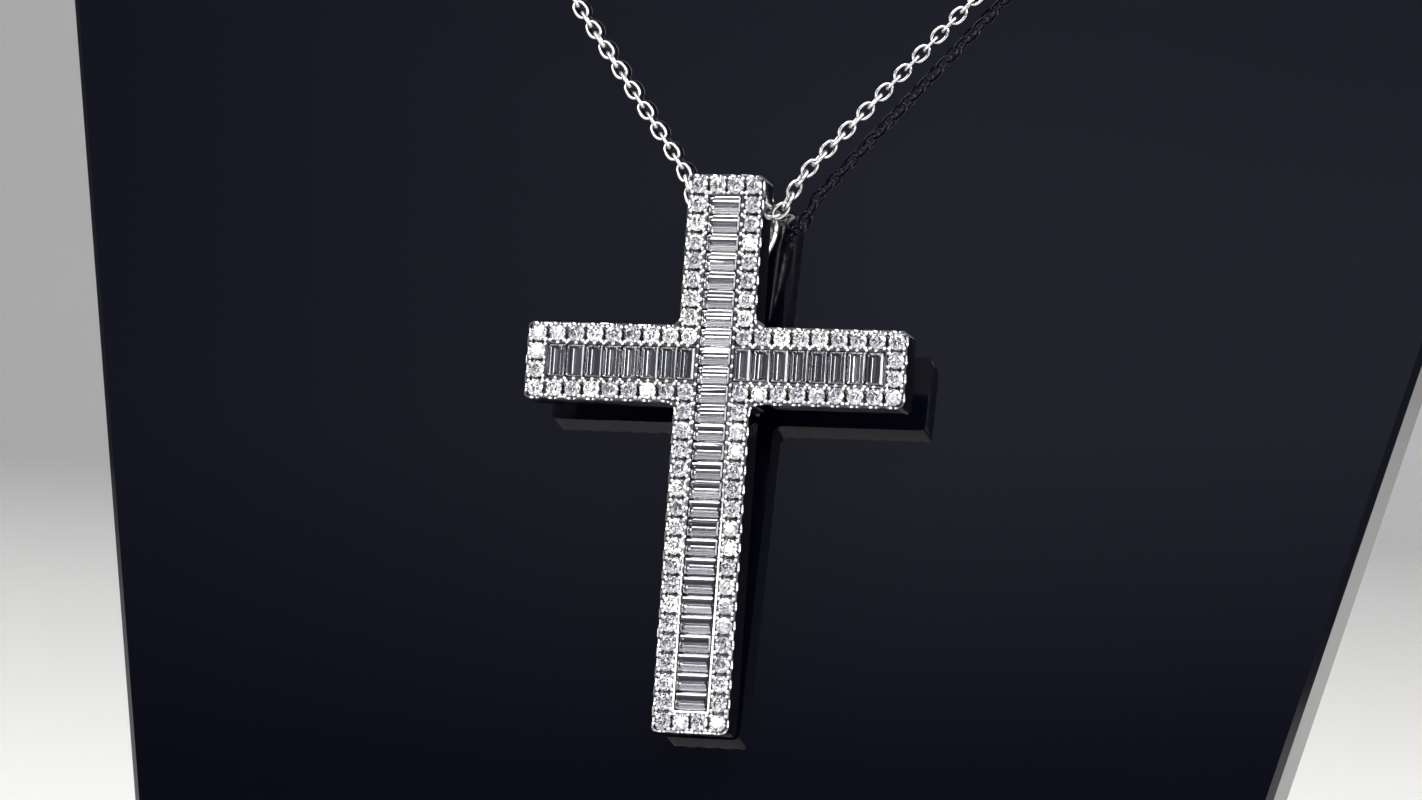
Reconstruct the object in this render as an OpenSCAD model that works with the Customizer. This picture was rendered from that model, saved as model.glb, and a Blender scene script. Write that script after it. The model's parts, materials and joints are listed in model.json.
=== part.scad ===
// Diamond cross pendant on its chain, hung on a plain black display stand.
// Millimetres, +Z up. The origin is the middle of the stand's underside; the stones face -Y.

/* [Cross] */
// Height of the cross
cross_h = 35; // [30:0.5:45]
// Span of the two arms
arm_span = 24.4; // [20:0.2:32]
// Width of every arm
arm_w = 4.86; // [4.4:0.02:6]
// From the top of the cross down to the top of its side arms
arm_drop = 9.6; // [8:0.1:14]
// Thickness of the metal, front to back
metal_t = 2.35; // [2:0.05:3]
// Rounding of the outer corners
corner_r = 0.35; // [0.2:0.05:0.6]
// Fillet in the four corners where the arms meet
fillet_r = 0.6; // [0.3:0.05:0.8]
// How far the pendant hangs out of plumb, its top to the left
hang_tilt = 1.8; // [0:0.1:4]

/* [Stones] */
// Wall of metal round the outline
rim_w = 0.12; // [0.1:0.01:0.25]
// Wall of metal between the round stones and the baguettes
rail_w = 0.12; // [0.1:0.01:0.25]
// Diameter of a round stone
round_d = 1.06; // [0.9:0.02:1.2]
// Width of a baguette, along its row
baguette_w = 1.09; // [0.9:0.01:1.4]
// Crown of a stone, above its girdle
crown_h = 0.17; // [0.1:0.01:0.25]
// Pavilion of a stone, below its girdle
pavilion_h = 0.46; // [0.35:0.01:0.6]
// Depth of the girdles below the top of the walls
girdle_sink = 0.1; // [0.05:0.01:0.2]
// Least gap between two stones of a row
stone_gap = 0.1; // [0.1:0.01:0.2]
// Gap between a stone and the metal
seat_gap = 0.03; // [0.02:0.01:0.06]
// Diameter of a prong
prong_d = 0.34; // [0.24:0.01:0.4]
// Height of a prong above the walls
prong_rise = 0.1; // [0.05:0.01:0.2]

/* [Bail] */
// Height of the loop on the back
bail_h = 7.6; // [6.5:0.1:9]
// How far the loop stands off the back
bail_depth = 2.85; // [2.5:0.05:3.6]
// Thickness of the loop's strap
bail_wall = 0.6; // [0.45:0.05:0.7]
// Width of the loop at its foot
bail_foot_w = 2.8; // [2:0.1:4]
// Metal above the loop's opening
bail_head_h = 1; // [0.8:0.05:1.5]
// Metal below the loop's opening
bail_foot_h = 1.3; // [1:0.05:1.8]
// Drop from the metal above the opening to the round seat of the chain
seat_drop = 0.15; // [0.1:0.05:0.4]
// Metal between the seat of the chain and the cross's back
seat_back = 0.2; // [0.1:0.05:0.4]

/* [Chain] */
// Outer diameter of the chain
chain_d = 1; // [0.8:0.02:1.1]
// Running clearance round the chain in the bail
chain_gap = 0.15; // [0.1:0.01:0.2]
// Outer diameter of the clasp's ring
clasp_d = 5.5; // [5:0.1:7]
// Thickness of the clasp's ring
clasp_wire = 1; // [0.8:0.05:1.3]
// Outer diameter of the two eyes beside the ring
eye_d = 2; // [1.6:0.1:2.4]
// Thickness of an eye
eye_wire = 0.5; // [0.4:0.05:0.6]

/* [Stand] */
// How far the board leans back
board_lean = 15; // [10:1:20]
// Thickness of the board
board_t = 5; // [4:0.5:8]
// Width of the board's top edge
board_top_w = 122; // [118:1:140]
// Width of the board where it meets the base
board_foot_w = 59; // [50:1:64]
// Length of the board above the level of the cross's foot
board_rise = 101; // [92:0.5:120]
// Height of the cross's foot above the table
foot_z = 36; // [32:1:45]
// From the board's centre line to the middle of each notch that holds the chain
notch_x = 54.6; // [50:0.2:56]
// Width of the two notches
notch_w = 2.4; // [2:0.1:3]
// Depth of the notches
notch_depth = 2; // [2:0.1:3]
// Width of the base
base_w = 66; // [62:1:90]
// Depth of the base, front to back
base_d = 64; // [60:1:90]
// Thickness of the base
base_t = 5; // [4:0.5:8]
// Rounding of the base's corners
base_r = 4; // [2:0.5:8]
// Depth of the slot in the base that holds the board
slot_depth = 2.5; // [1.5:0.5:3]
// Bevel along the edges of the board and the base
edge_bevel = 0.4; // [0.2:0.1:0.6]
// Gap between the board and its slot, and under what leans on the board
rest_gap = 0.3; // [0.2:0.05:0.4]

/* [Hidden] */

gold = [0.84, 0.84, 0.83];
diamond = [0.9, 0.94, 0.98];
black = [0.05, 0.05, 0.06];

// The cross's foot stands this far in front of the base's middle, on the board's face
board_front = 12;

half_w = arm_w / 2;
half_span = arm_span / 2;
band_top = cross_h - arm_drop;
band_foot = band_top - arm_w;
groove_w = round_d + 2 * seat_gap;
row_inset = rim_w + groove_w / 2;
rail_inset = rim_w + groove_w;
channel_inset = rail_inset + rail_w;
pocket_depth = girdle_sink + pavilion_h + 2 * seat_gap;
girdle_y = girdle_sink - metal_t;
corner_steps = 4;

// How far a cut runs past what it cuts
past = 1;

// Where the chain runs through the bail: below the cross's top, and behind its back
bore_r = chain_d / 2 + chain_gap;
hang_below = bail_head_h + bore_r + seat_drop;
hang_behind = bore_r + seat_back;

// The loop's outer line, from its top to its foot:
// share of bail_h below the cross's top, share of bail_depth behind its back
BAIL_LINE = [
    [0.02, 0], [0.05, 0.20], [0.095, 0.42], [0.16, 0.68], [0.225, 0.89], [0.30, 1],
    [0.40, 0.97], [0.50, 0.83], [0.62, 0.64], [0.74, 0.44], [0.86, 0.22], [1, 0]
];
bail_peak = 0.3;

// The pendant leans on the board with the loop's back and with its own foot
loop_to_foot = cross_h - bail_peak * bail_h;
stand_off = atan(bail_depth / loop_to_foot);
hang_up = cross_h - hang_below;
hang_out = rest_gap + (bail_depth - hang_behind) * cos(stand_off)
    + (bail_peak * bail_h - hang_below) * sin(stand_off);

board_slope = (board_top_w - board_foot_w) / 2 / (board_rise + (foot_z - base_t) / cos(board_lean));

// Where the chain starts its fall behind the board
drop_up = board_rise - 1.5;

// Route of one half of the chain, from the bail to the clasp. Each row is a place on the
// board and then a straight drop: across, up the board, out from its face, drop
CHAIN_ROUTE = [
    [2.8, hang_up, hang_out, 0],
    [3.8, hang_up + 2.5, 2.3, 0],
    [notch_x - 1, board_rise - 2.5, 0.8, 0],
    [notch_x - 0.3, board_rise - 1.6, 0.6, 0],
    [notch_x, board_rise - 1.1, -0.3, 0],
    [notch_x, board_rise - 1.1, -2.5, 0],
    [notch_x, board_rise - 1.1, -4.7, 0],
    [notch_x, drop_up, -5.7, 0.3],
    [notch_x - 0.3, drop_up, -5.8, 2],
    [53.2, drop_up, -5.8, 8],
    [52, drop_up, -5.8, 14.8],
    [50.4, drop_up, -5.8, 22.6],
    [48.6, drop_up, -5.8, 31.4],
    [46.6, drop_up, -5.8, 40.2],
    [44.3, drop_up, -5.8, 48.9],
    [41.9, drop_up, -5.8, 57.6],
    [39.1, drop_up, -5.8, 66.1],
    [35.9, drop_up, -5.8, 74.6],
    [32.7, drop_up, -5.8, 81.9],
    [29.5, drop_up, -5.8, 88.1],
    [26.4, drop_up, -5.8, 93.2],
    [23.2, drop_up, -5.8, 97.7],
    [20, drop_up, -5.8, 101.5],
    [16.7, drop_up, -5.8, 104.6],
    [13, drop_up, -5.8, 107.2],
    [9, drop_up, -5.8, 109.3],
    [4.6, drop_up, -5.8, 110.7]
];
chain_sides = 8;
chain_step = 10;

function unit(v) = v / norm(v);

// A place on the board's face: across, up the board, out from its face
function on_board(x, up, out) = [
    x,
    up * sin(board_lean) - out * cos(board_lean) - board_front,
    up * cos(board_lean) + out * sin(board_lean) + foot_z
];

// The cross's twelve corners, counter-clockwise from the lower left, drawn in by an inset
function cross_corners(inset) =
    let (w = half_w - inset, s = half_span - inset)
    let (low = band_foot + inset, high = band_top - inset)
    let (foot = inset, top = cross_h - inset)
    [
        [-w, foot], [w, foot], [w, low], [s, low], [s, high], [w, high],
        [w, top], [-w, top], [-w, high], [-s, high], [-s, low], [-w, low]
    ];

// Every third corner is an inner one
function corner_radius(k, inset) = k % 3 == 2 ? fillet_r + inset : max(0, corner_r - inset);

// The cross's outline with rounded corners, drawn in by an inset
function cross_outline(inset) =
    let (c = cross_corners(inset), n = len(c))
    [
        for (k = [0 : n - 1])
            let (to_last = unit(c[(k + n - 1) % n] - c[k]))
            let (to_next = unit(c[(k + 1) % n] - c[k]))
            let (r = corner_radius(k, inset), steps = r > 0 ? corner_steps : 0)
            for (j = [0 : steps])
                let (turn = steps > 0 ? 90 * j / steps : 0)
                c[k] + r * (to_last + to_next - cos(turn) * to_next - sin(turn) * to_last)
    ];

// How many stones of a size fit in a length
function fit_count(length, size) = max(1, floor(length / (size + stone_gap)));

// Places along the closed row of round stones: at = 0 for stones, 0.5 for the gaps between.
// Each entry is a place and the direction across the row there
function row_places(at) =
    let (c = cross_corners(row_inset), n = len(c))
    [
        for (k = [0 : n - 1])
            let (a = c[k], b = c[(k + 1) % n], count = fit_count(norm(b - a), round_d))
            let (along = unit(b - a))
            for (j = [0 : count - 1])
                [a + (b - a) * (j + at) / count, [along[1], -along[0]]]
    ];

// Middles of the baguettes of one row between two places
function baguette_places(a, b) =
    let (count = fit_count(norm(b - a), baguette_w))
    [for (j = [0 : count - 1]) a + (b - a) * (j + 0.5) / count];

// Eight points on a circle in the plane of the stones, at a depth, turned by a share of a step
function ring(place, r, y, turn) = [
    for (k = [0 : 7]) [place[0] + r * cos(45 * (k + turn)), y, place[1] + r * sin(45 * (k + turn))]
];

// Four points of a rectangle in the plane of the stones, at a depth
function rectangle(place, w, h, y) = [
    for (s = [[-1, -1], [1, -1], [1, 1], [-1, 1]])
        [place[0] + s[0] * w / 2, y, place[1] + s[1] * h / 2]
];

// A brilliant: an eight-sided table, its girdle and its culet
function brilliant(place) = concat(
    ring(place, 0.56 * round_d / 2, girdle_y - crown_h, 0),
    ring(place, round_d / 2, girdle_y, 0.5),
    [[place[0], girdle_y + pavilion_h, place[1]]]
);
BRILLIANT_FACES = concat(
    [[7, 6, 5, 4, 3, 2, 1, 0]],
    [for (k = [0 : 7]) [k, (k + 1) % 8, 8 + k]],
    [for (k = [0 : 7]) [8 + k, (k + 1) % 8, 8 + (k + 1) % 8]],
    [for (k = [0 : 7]) [8 + k, 8 + (k + 1) % 8, 16]]
);

// A baguette: its table, its girdle and the keel along its length
function baguette(place, w, h) =
    let (keel = w > h ? [0.5 * w, 0] : [0, 0.5 * h])
    let (deep = girdle_y + pavilion_h, table = crown_h * 2)
    concat(
        rectangle(place, w - table, h - table, girdle_y - crown_h),
        rectangle(place, w, h, girdle_y),
        [for (s = [-1, 1]) [place[0] + s * keel[0] / 2, deep, place[1] + s * keel[1] / 2]]
    );
CROWN_FACES = concat([[3, 2, 1, 0]], [for (k = [0 : 3]) [k, (k + 1) % 4, 4 + (k + 1) % 4, 4 + k]]);
LYING_FACES = concat(CROWN_FACES, [[4, 5, 9, 8], [5, 6, 9], [6, 7, 8, 9], [7, 4, 8]]);
STANDING_FACES = concat(CROWN_FACES, [[4, 5, 8], [5, 6, 9, 8], [6, 7, 9], [7, 4, 8, 9]]);

// Joins stones that share one list of faces into one body of loose stones
module loose_stones(stones, faces) {
    size = len(stones[0]);
    polyhedron(
        [for (s = stones) for (p = s) p],
        [for (k = [0 : len(stones) - 1]) for (f = faces) [for (i = f) i + k * size]]
    );
}

// A flat shape in the plane of the cross, from the front face down to a depth
module from_front(depth, above = 0) {
    translate([0, depth - metal_t, 0])
        rotate([90, 0, 0])
        linear_extrude(depth + above)
        children();
}

// Moves the pendant from its own frame, back on y = 0 and foot on z = 0, to the chain
module hung() {
    translate(on_board(0, hang_up, hang_out))
        rotate([stand_off - board_lean, 0, 0])
        rotate([0, -hang_tilt, 0])
        translate([0, -hang_behind, hang_below - cross_h])
        children();
}

module stone_grooves() {
    from_front(pocket_depth, past) difference() {
        polygon(cross_outline(rim_w));
        polygon(cross_corners(rail_inset));
    }
}

module baguette_channels() {
    c = cross_corners(channel_inset);
    inner = half_w - rail_inset;
    from_front(pocket_depth, past) {
        polygon([c[0], c[1], c[6], c[7]]);
        for (s = [-1, 1]) {
            polygon([[s * inner, c[3][1]], [s * c[3][0], c[3][1]], [s * c[4][0], c[4][1]], [s * inner, c[4][1]]]);
        }
    }
}

module prongs() {
    reach = groove_w / 2 + min(rim_w, rail_w) * 0.75 - prong_d / 2;
    root = 0.1;
    for (place = row_places(0.5)) {
        for (side = [-1, 1]) {
            p = place[0] + side * reach * place[1];
            translate([p[0], pocket_depth + root - metal_t, p[1]])
                rotate([90, 0, 0])
                cylinder(h = root + pocket_depth + prong_rise, d = prong_d, $fn = 6);
        }
    }
}

// A flat shape drawn as height and depth, extruded across the pendant
module across(width) {
    translate([-width / 2, 0, cross_h])
        rotate([90, 0, 90])
        linear_extrude(width)
        children();
}

module bail() {
    opening_h = bail_h - bail_head_h - bail_foot_h;
    root = metal_t / 4;
    width = arm_w - 0.1;
    outer = [for (p = BAIL_LINE) [p[1] * bail_depth, -p[0] * bail_h]];
    inner = [for (p = BAIL_LINE) [p[1] * (bail_depth - bail_wall), -bail_head_h - p[0] * opening_h]];
    difference() {
        intersection() {
            across(width) polygon(concat([[-root, outer[0][1]]], outer, [[-root, -bail_h]]));
            translate([0, bail_depth + past, cross_h])
                rotate([90, 0, 0])
                linear_extrude(bail_depth + metal_t)
                polygon([
                    [-width, past], [width, past], [width / 2, -bail_peak * bail_h],
                    [bail_foot_w / 2, -bail_h - 0.1], [-bail_foot_w / 2, -bail_h - 0.1],
                    [-width / 2, -bail_peak * bail_h]
                ]);
        }
        across(arm_w) polygon(inner);
        translate([-half_w, hang_behind, cross_h - hang_below])
            rotate([0, 90, 0])
            cylinder(h = arm_w, r = bore_r, $fn = 48);
    }
}

module setting() {
    color(gold) hung() {
        difference() {
            from_front(metal_t) polygon(cross_outline(0));
            stone_grooves();
            baguette_channels();
        }
        prongs();
        bail();
    }
}

module round_stones() {
    color(diamond) hung()
        loose_stones([for (place = row_places(0)) brilliant(place[0])], BRILLIANT_FACES);
}

module baguette_stones() {
    low = cross_corners(channel_inset)[0];
    high = cross_corners(channel_inset)[6];
    arm_end = cross_corners(channel_inset)[3][0];
    arm_mid = (band_top + band_foot) / 2;
    inner = half_w - rail_inset;
    length = arm_w - 2 * channel_inset - 2 * seat_gap;
    color(diamond) hung() {
        loose_stones(
            [for (p = baguette_places([0, low[1]], [0, high[1]])) baguette(p, length, baguette_w)],
            LYING_FACES
        );
        for (s = [-1, 1]) {
            loose_stones(
                [
                    for (p = baguette_places([s * inner, arm_mid], [s * arm_end, arm_mid]))
                        baguette(p, baguette_w, length)
                ],
                STANDING_FACES
            );
        }
    }
}

// One half of the chain's route as points, with long straight stretches divided
function half_route(side) =
    let (p = [for (r = CHAIN_ROUTE) on_board(side * r[0], r[1], r[2]) - [0, 0, r[3]]])
    let (last = len(p) - 1)
    [
        for (k = [0 : last])
            let (count = k < last ? ceil(norm(p[k + 1] - p[k]) / chain_step) : 1)
            for (j = [0 : count - 1]) k < last ? p[k] + (p[k + 1] - p[k]) * j / count : p[k]
    ];
function reversed(list) = [for (k = [len(list) - 1 : -1 : 0]) list[k]];

// Carries a ring of points from one bend of a route to the next, onto the bend's plane
function carried(points, along, at, plane) = [
    for (p = points) p + along * (((at - p) * plane) / (along * plane))
];
function sweep_rings(route, k, rings) =
    k == len(route) - 1
        ? rings
        : let (along = unit(route[k + 1] - route[k]))
          let (onward = k + 2 < len(route) ? unit(route[k + 2] - route[k + 1]) : along)
          let (next = carried(rings[k], along, route[k + 1], unit(along + onward)))
          sweep_rings(route, k + 1, concat(rings, [next]));

// A tube of a diameter along a route of points
module tube(route, d, sides) {
    along = unit(route[1] - route[0]);
    right = unit(cross(along, [0, 1, 0]));
    up = cross(right, along);
    first = [
        for (k = [0 : sides - 1])
            route[0] + d / 2 * (cos(360 * k / sides) * right + sin(360 * k / sides) * up)
    ];
    rings = sweep_rings(route, 0, [first]);
    last = (len(rings) - 1) * sides;
    polyhedron(
        [for (ring = rings) for (p = ring) p],
        concat(
            [[for (k = [0 : sides - 1]) sides - 1 - k]],
            [[for (k = [0 : sides - 1]) last + k]],
            [
                for (i = [0 : len(rings) - 2])
                    for (k = [0 : sides - 1])
                        let (next = (k + 1) % sides)
                        [i * sides + k, i * sides + next, (i + 1) * sides + next, (i + 1) * sides + k]
            ]
        )
    );
}

module chain() {
    color(gold) tube(concat(reversed(half_route(-1)), half_route(1)), chain_d, chain_sides);
}

module torus(d, wire) {
    rotate([90, 0, 0]) rotate_extrude($fn = 64) translate([(d - wire) / 2, 0]) circle(d = wire, $fn = 32);
}

module clasp() {
    last = CHAIN_ROUTE[len(CHAIN_ROUTE) - 1];
    eye_x = (clasp_d + eye_d) / 2 - 0.35;
    color(gold) translate(on_board(0, last[1], last[2]) - [0, 0, last[3]]) {
        torus(clasp_d, clasp_wire);
        for (s = [-1, 1]) translate([s * eye_x, 0, 0]) torus(eye_d, eye_wire);
    }
}

// Half the board's width at a place up the board
function board_half(up) = board_top_w / 2 - board_slope * (board_rise - up);

// A slab of a shape with bevelled edges, upwards from z = 0
module bevelled_slab(t, bevel) {
    hull() {
        translate([0, 0, bevel]) linear_extrude(t - 2 * bevel) children(0);
        linear_extrude(t) children(1);
    }
}

// The board's outline, longer below than it shows, drawn in by an inset
function board_outline(inset) =
    let (low = -foot_z / cos(board_lean) - board_t)
    let (skew = inset * sqrt(1 + board_slope * board_slope))
    [
        [-board_half(low) + skew, low], [board_half(low) - skew, low],
        [board_half(board_rise - inset) - skew, board_rise - inset],
        [-board_half(board_rise - inset) + skew, board_rise - inset]
    ];

module on_stand() {
    translate(on_board(0, 0, 0)) rotate([-board_lean, 0, 0]) children();
}

// Everything below a height
module below(z) {
    size = 2 * board_top_w;
    translate([-size / 2, -size / 2, z - size]) cube(size);
}

module board() {
    seat_z = base_t - slot_depth + rest_gap / 3;
    color(black) difference() {
        on_stand() translate([0, board_t, 0]) rotate([90, 0, 0]) bevelled_slab(board_t, edge_bevel) {
            polygon(board_outline(0));
            polygon(board_outline(edge_bevel));
        }
        below(seat_z);
        on_stand() for (s = [-1, 1])
            translate([s * notch_x - notch_w / 2, -past, board_rise - notch_depth])
            cube([notch_w, board_t + 2 * past, notch_depth + past]);
    }
}

// Points of a rectangle with round corners
function round_rectangle(w, d, r) = [
    for (k = [0 : 3])
        for (j = [0 : 6])
            let (turn = 90 * k + 15 * j)
            let (sx = k == 0 || k == 3 ? 1 : -1, sy = k < 2 ? 1 : -1)
            [sx * (w / 2 - r) + r * cos(turn), sy * (d / 2 - r) + r * sin(turn)]
];

module base() {
    gap = rest_gap / 3;
    color(black) difference() {
        bevelled_slab(base_t, edge_bevel) {
            polygon(round_rectangle(base_w, base_d, base_r));
            polygon(round_rectangle(base_w - 2 * edge_bevel, base_d - 2 * edge_bevel, base_r - edge_bevel));
        }
        difference() {
            on_stand() translate([0, board_t + gap, 0]) rotate([90, 0, 0])
                linear_extrude(board_t + 2 * gap) polygon(board_outline(-gap));
            below(base_t - slot_depth);
        }
    }
}

setting();
round_stones();
baguette_stones();
chain();
clasp();
board();
base();
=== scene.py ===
import functools
import json
import math
import random
import types

import bmesh
import bpy
from mathutils import Euler, Matrix, Vector


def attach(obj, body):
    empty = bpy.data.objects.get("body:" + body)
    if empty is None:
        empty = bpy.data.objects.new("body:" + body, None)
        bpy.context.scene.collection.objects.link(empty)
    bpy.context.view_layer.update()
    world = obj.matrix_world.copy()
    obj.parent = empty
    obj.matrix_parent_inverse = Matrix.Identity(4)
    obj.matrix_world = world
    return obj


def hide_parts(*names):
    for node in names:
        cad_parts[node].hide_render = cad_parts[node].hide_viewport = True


bl_info = {
    "name": "Cross Pendant on a Display Board",
    "version": (1, 0, 0),
    "blender": (4, 5, 0),
    "location": "View3D > Sidebar > Pendant",
    "description": "A stone-set cross on a cable chain, hung over a leaning black board",
    "category": "Add Mesh",
}

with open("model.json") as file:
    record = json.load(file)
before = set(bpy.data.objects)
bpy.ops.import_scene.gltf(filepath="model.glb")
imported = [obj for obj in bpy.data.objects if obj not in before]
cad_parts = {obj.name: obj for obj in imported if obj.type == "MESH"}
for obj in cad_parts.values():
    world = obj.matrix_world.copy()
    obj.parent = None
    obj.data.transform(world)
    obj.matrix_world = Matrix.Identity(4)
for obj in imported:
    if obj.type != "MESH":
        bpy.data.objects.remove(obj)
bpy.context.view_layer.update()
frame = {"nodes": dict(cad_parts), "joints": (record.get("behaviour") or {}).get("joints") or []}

# Pieces are modelled at a bench, a thousand times their size, and brought down at the end
BENCH = 1000.0
TO_METRES = Matrix.Scale(1 / BENCH, 4)

# Two places this near each other count as one, in the units of what is being shaped
NEAR = 0.01

# A face whose normal points this far along an axis faces that way
FACING = 0.9

# The bail's outer line from its top to its foot: share of its height below the cross's top,
# share of its depth behind the cross's back
BAIL_LINE = [
    (0.02, 0), (0.05, 0.20), (0.095, 0.42), (0.16, 0.68), (0.225, 0.89), (0.30, 1),
    (0.40, 0.97), (0.50, 0.83), (0.62, 0.64), (0.74, 0.44), (0.86, 0.22), (1, 0),
]
BAIL_PEAK = 0.3

# Route of one half of the chain from the bail's side to the clasp, in metres: across,
# up the board, out from its face, straight drop. First over the notch in the board's top
CHAIN_OVER = [
    (0.0038, 0.0357, 0.0023, 0),
    (0.0536, 0.0985, 0.0008, 0),
    (0.0543, 0.0994, 0.0006, 0),
    (0.0546, 0.0999, -0.0003, 0),
    (0.0546, 0.0999, -0.0025, 0),
    (0.0546, 0.0999, -0.0047, 0),
    (0.0546, 0.0995, -0.0057, 0.0003),
]

# Then hanging behind it as one catenary: how far up and out its places are, and each
# one's way across and drop
HANG_PLANE = (0.0995, -0.0058)
CHAIN_HANG = [
    (0.0543, 0.0020), (0.0532, 0.0080), (0.0520, 0.0148), (0.0504, 0.0226), (0.0486, 0.0314),
    (0.0466, 0.0402), (0.0443, 0.0489), (0.0419, 0.0576), (0.0391, 0.0661), (0.0359, 0.0746),
    (0.0327, 0.0819), (0.0295, 0.0881), (0.0264, 0.0932), (0.0232, 0.0977), (0.0200, 0.1015),
    (0.0167, 0.1046), (0.0130, 0.1072), (0.0090, 0.1093), (0.0046, 0.1107),
]
CHAIN_ROUTE = CHAIN_OVER + [(across, *HANG_PLANE, drop) for across, drop in CHAIN_HANG]

# How far the clasp's ring and each of its eyes run into each other, in millimetres
EYE_LAP = 0.35


# Sizes and colours that a user would change

def field(name, description, default, kind=bpy.props.FloatProperty, **how):
    """A property of a group. The kinds below fill in how it behaves."""
    return kind(name=name, description=description, default=default, **how)


def angle(name, description, degrees):
    """A property for an angle."""
    return field(name, description, math.radians(degrees), unit="ROTATION")


# A length and a place are in metres, and a share runs from 0 to 1
number = functools.partial(field, min=0)
length = functools.partial(field, min=0, precision=5, unit="LENGTH")
share = functools.partial(field, min=0, max=1, subtype="FACTOR")
triple = functools.partial(field, kind=bpy.props.FloatVectorProperty, size=3)
colour = functools.partial(triple, min=0, max=1, subtype="COLOR")
place = functools.partial(triple, precision=5, subtype="TRANSLATION", unit="LENGTH")


class CrossSizes(bpy.types.PropertyGroup):
    """Sizes of the cross, its walls and its bail."""

    cross_h: length("Height", "Height of the cross", 0.035)
    arm_span: length("Span", "Span of the two arms", 0.0244)
    arm_w: length("Arm Width", "Width of every arm", 0.00486)
    arm_drop: length("Arm Drop", "From the cross's top to the top of its side arms", 0.0096)
    metal_t: length("Thickness", "Thickness of the metal, front to back", 0.00235)
    corner_r: length("Corner", "Rounding of the outer corners", 0.00035)
    fillet_r: length("Fillet", "Fillet where the arms meet", 0.0006)
    rim_w: length("Rim", "Wall of metal round the outline", 0.00012)
    rail_w: length("Rail", "Wall between the round stones and the baguettes", 0.00012)
    groove_w: length("Groove", "Width of the groove that holds the round stones", 0.00112)
    shelf_depth: length("Shelf", "Depth of the groove between the round stones", 0.00046)
    pocket_depth: length("Pocket", "Depth of the round seats and of the channels", 0.00075)
    seat_d: length("Seat", "Diameter of the seat drilled under each round stone", 0.00098)
    scallop_r: length("Scallop", "Radius of the dip in the rim beside each stone", 0.00036)
    scallop_depth: length("Scallop Depth", "How far a dip reaches below the rim", 0.00026)
    bead_d: length("Bead", "Diameter of a bead that holds the round stones", 0.00033)
    bead_rise: length("Bead Rise", "How far a bead stands above the rim", 0.00009)
    edge_r: length("Edge", "Rounding of the rims and rails", 0.000035)
    grain_d: length("Grain", "Diameter of a grain that holds the baguettes", 0.00022)
    # Painted shade on the cross's outer sides and on the deep walls of its groove: how far they
    # are darkened
    side_dulling: share("Side Dulling", "How far the cross's outer sides are toned down", 0.85)
    bail_h: length("Bail Height", "Height of the loop on the back", 0.0076)
    bail_depth: length("Bail Depth", "How far the loop stands off the back", 0.00285)
    bail_wall: length("Bail Wall", "Thickness of the loop's strap", 0.0006)
    bail_foot_w: length("Bail Foot", "Width of the loop at its foot", 0.0028)
    bail_head_h: length("Bail Head", "Metal above the loop's opening", 0.001)
    bail_foot_h: length("Bail Seat", "Metal below the loop's opening", 0.0013)
    bore_d: length("Bore", "Diameter of the round seat that the chain runs in", 0.0013)
    seat_drop: length("Seat Drop", "Drop from the bail's head to the round seat", 0.00015)
    chain_behind: length("Chain Behind", "How far behind the cross's back the chain runs", 0.00085)
    hang_tilt: angle("Tilt", "How far the pendant hangs out of plumb, its top to the left", 1.8)


class StoneSizes(bpy.types.PropertyGroup):
    """Sizes of the cut stones."""

    round_pitch: length("Round Room", "Least room of a round stone along its row", 0.00116)
    round_d: length("Round Diameter", "Diameter of a round stone", 0.00108)
    baguette_room: length("Baguette Room", "Least room of a baguette along its row", 0.00119)
    baguette_w: length("Baguette Width", "Width of a baguette, along its row", 0.00113)
    baguette_l: length("Baguette Length", "Length of a baguette, across its row", 0.00210)
    girdle_sink: length("Girdle Sink", "Depth of the girdles below the rim", 0.0001)
    crown_h: length("Crown", "Height of a crown above its girdle", 0.00018)
    pavilion_h: length("Pavilion", "Depth of a round stone below its girdle", 0.00047)
    baguette_depth: length("Baguette Pavilion", "Depth of a baguette below its girdle", 0.000585)
    table: share("Table", "Width of a round stone's table as a share of its diameter", 0.56)
    wobble: angle("Wobble", "Most that a round stone is out of true in its seat", 6)
    baguette_wobble: angle("Baguette Wobble", "Most that a baguette is out of true", 1.8)
    clear_tint: colour("Clear Stone", "Colour of the clear stones", (1.0, 1.0, 1.0))
    # A stone's greyness turns it from the clear colour towards this one. The random spread from
    # stone to stone is the stones' own tone. The greying of the round stones and of the side arms'
    # baguettes on the whole is painted shade that dims them. The upright's baguettes grow greyer
    # towards its foot.
    grey_tint: colour("Smoky Stone", "Colour of the greyest stones", (0.42, 0.42, 0.45))
    round_grey: share("Round Grey", "How grey the round stones are on the whole", 0.95)
    upright_clear: share("Upright Clear", "Share of the upright's top that stays clear", 0.09)
    upright_grey: number("Upright Grey", "How fast its baguettes grow grey below that", 2.2)
    arm_grey: share("Arm Grey", "How grey the side arms' baguettes are on the whole", 0.9)
    grey_spread: share("Grey Spread", "How far the stones' greyness varies", 0.4)


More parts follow.
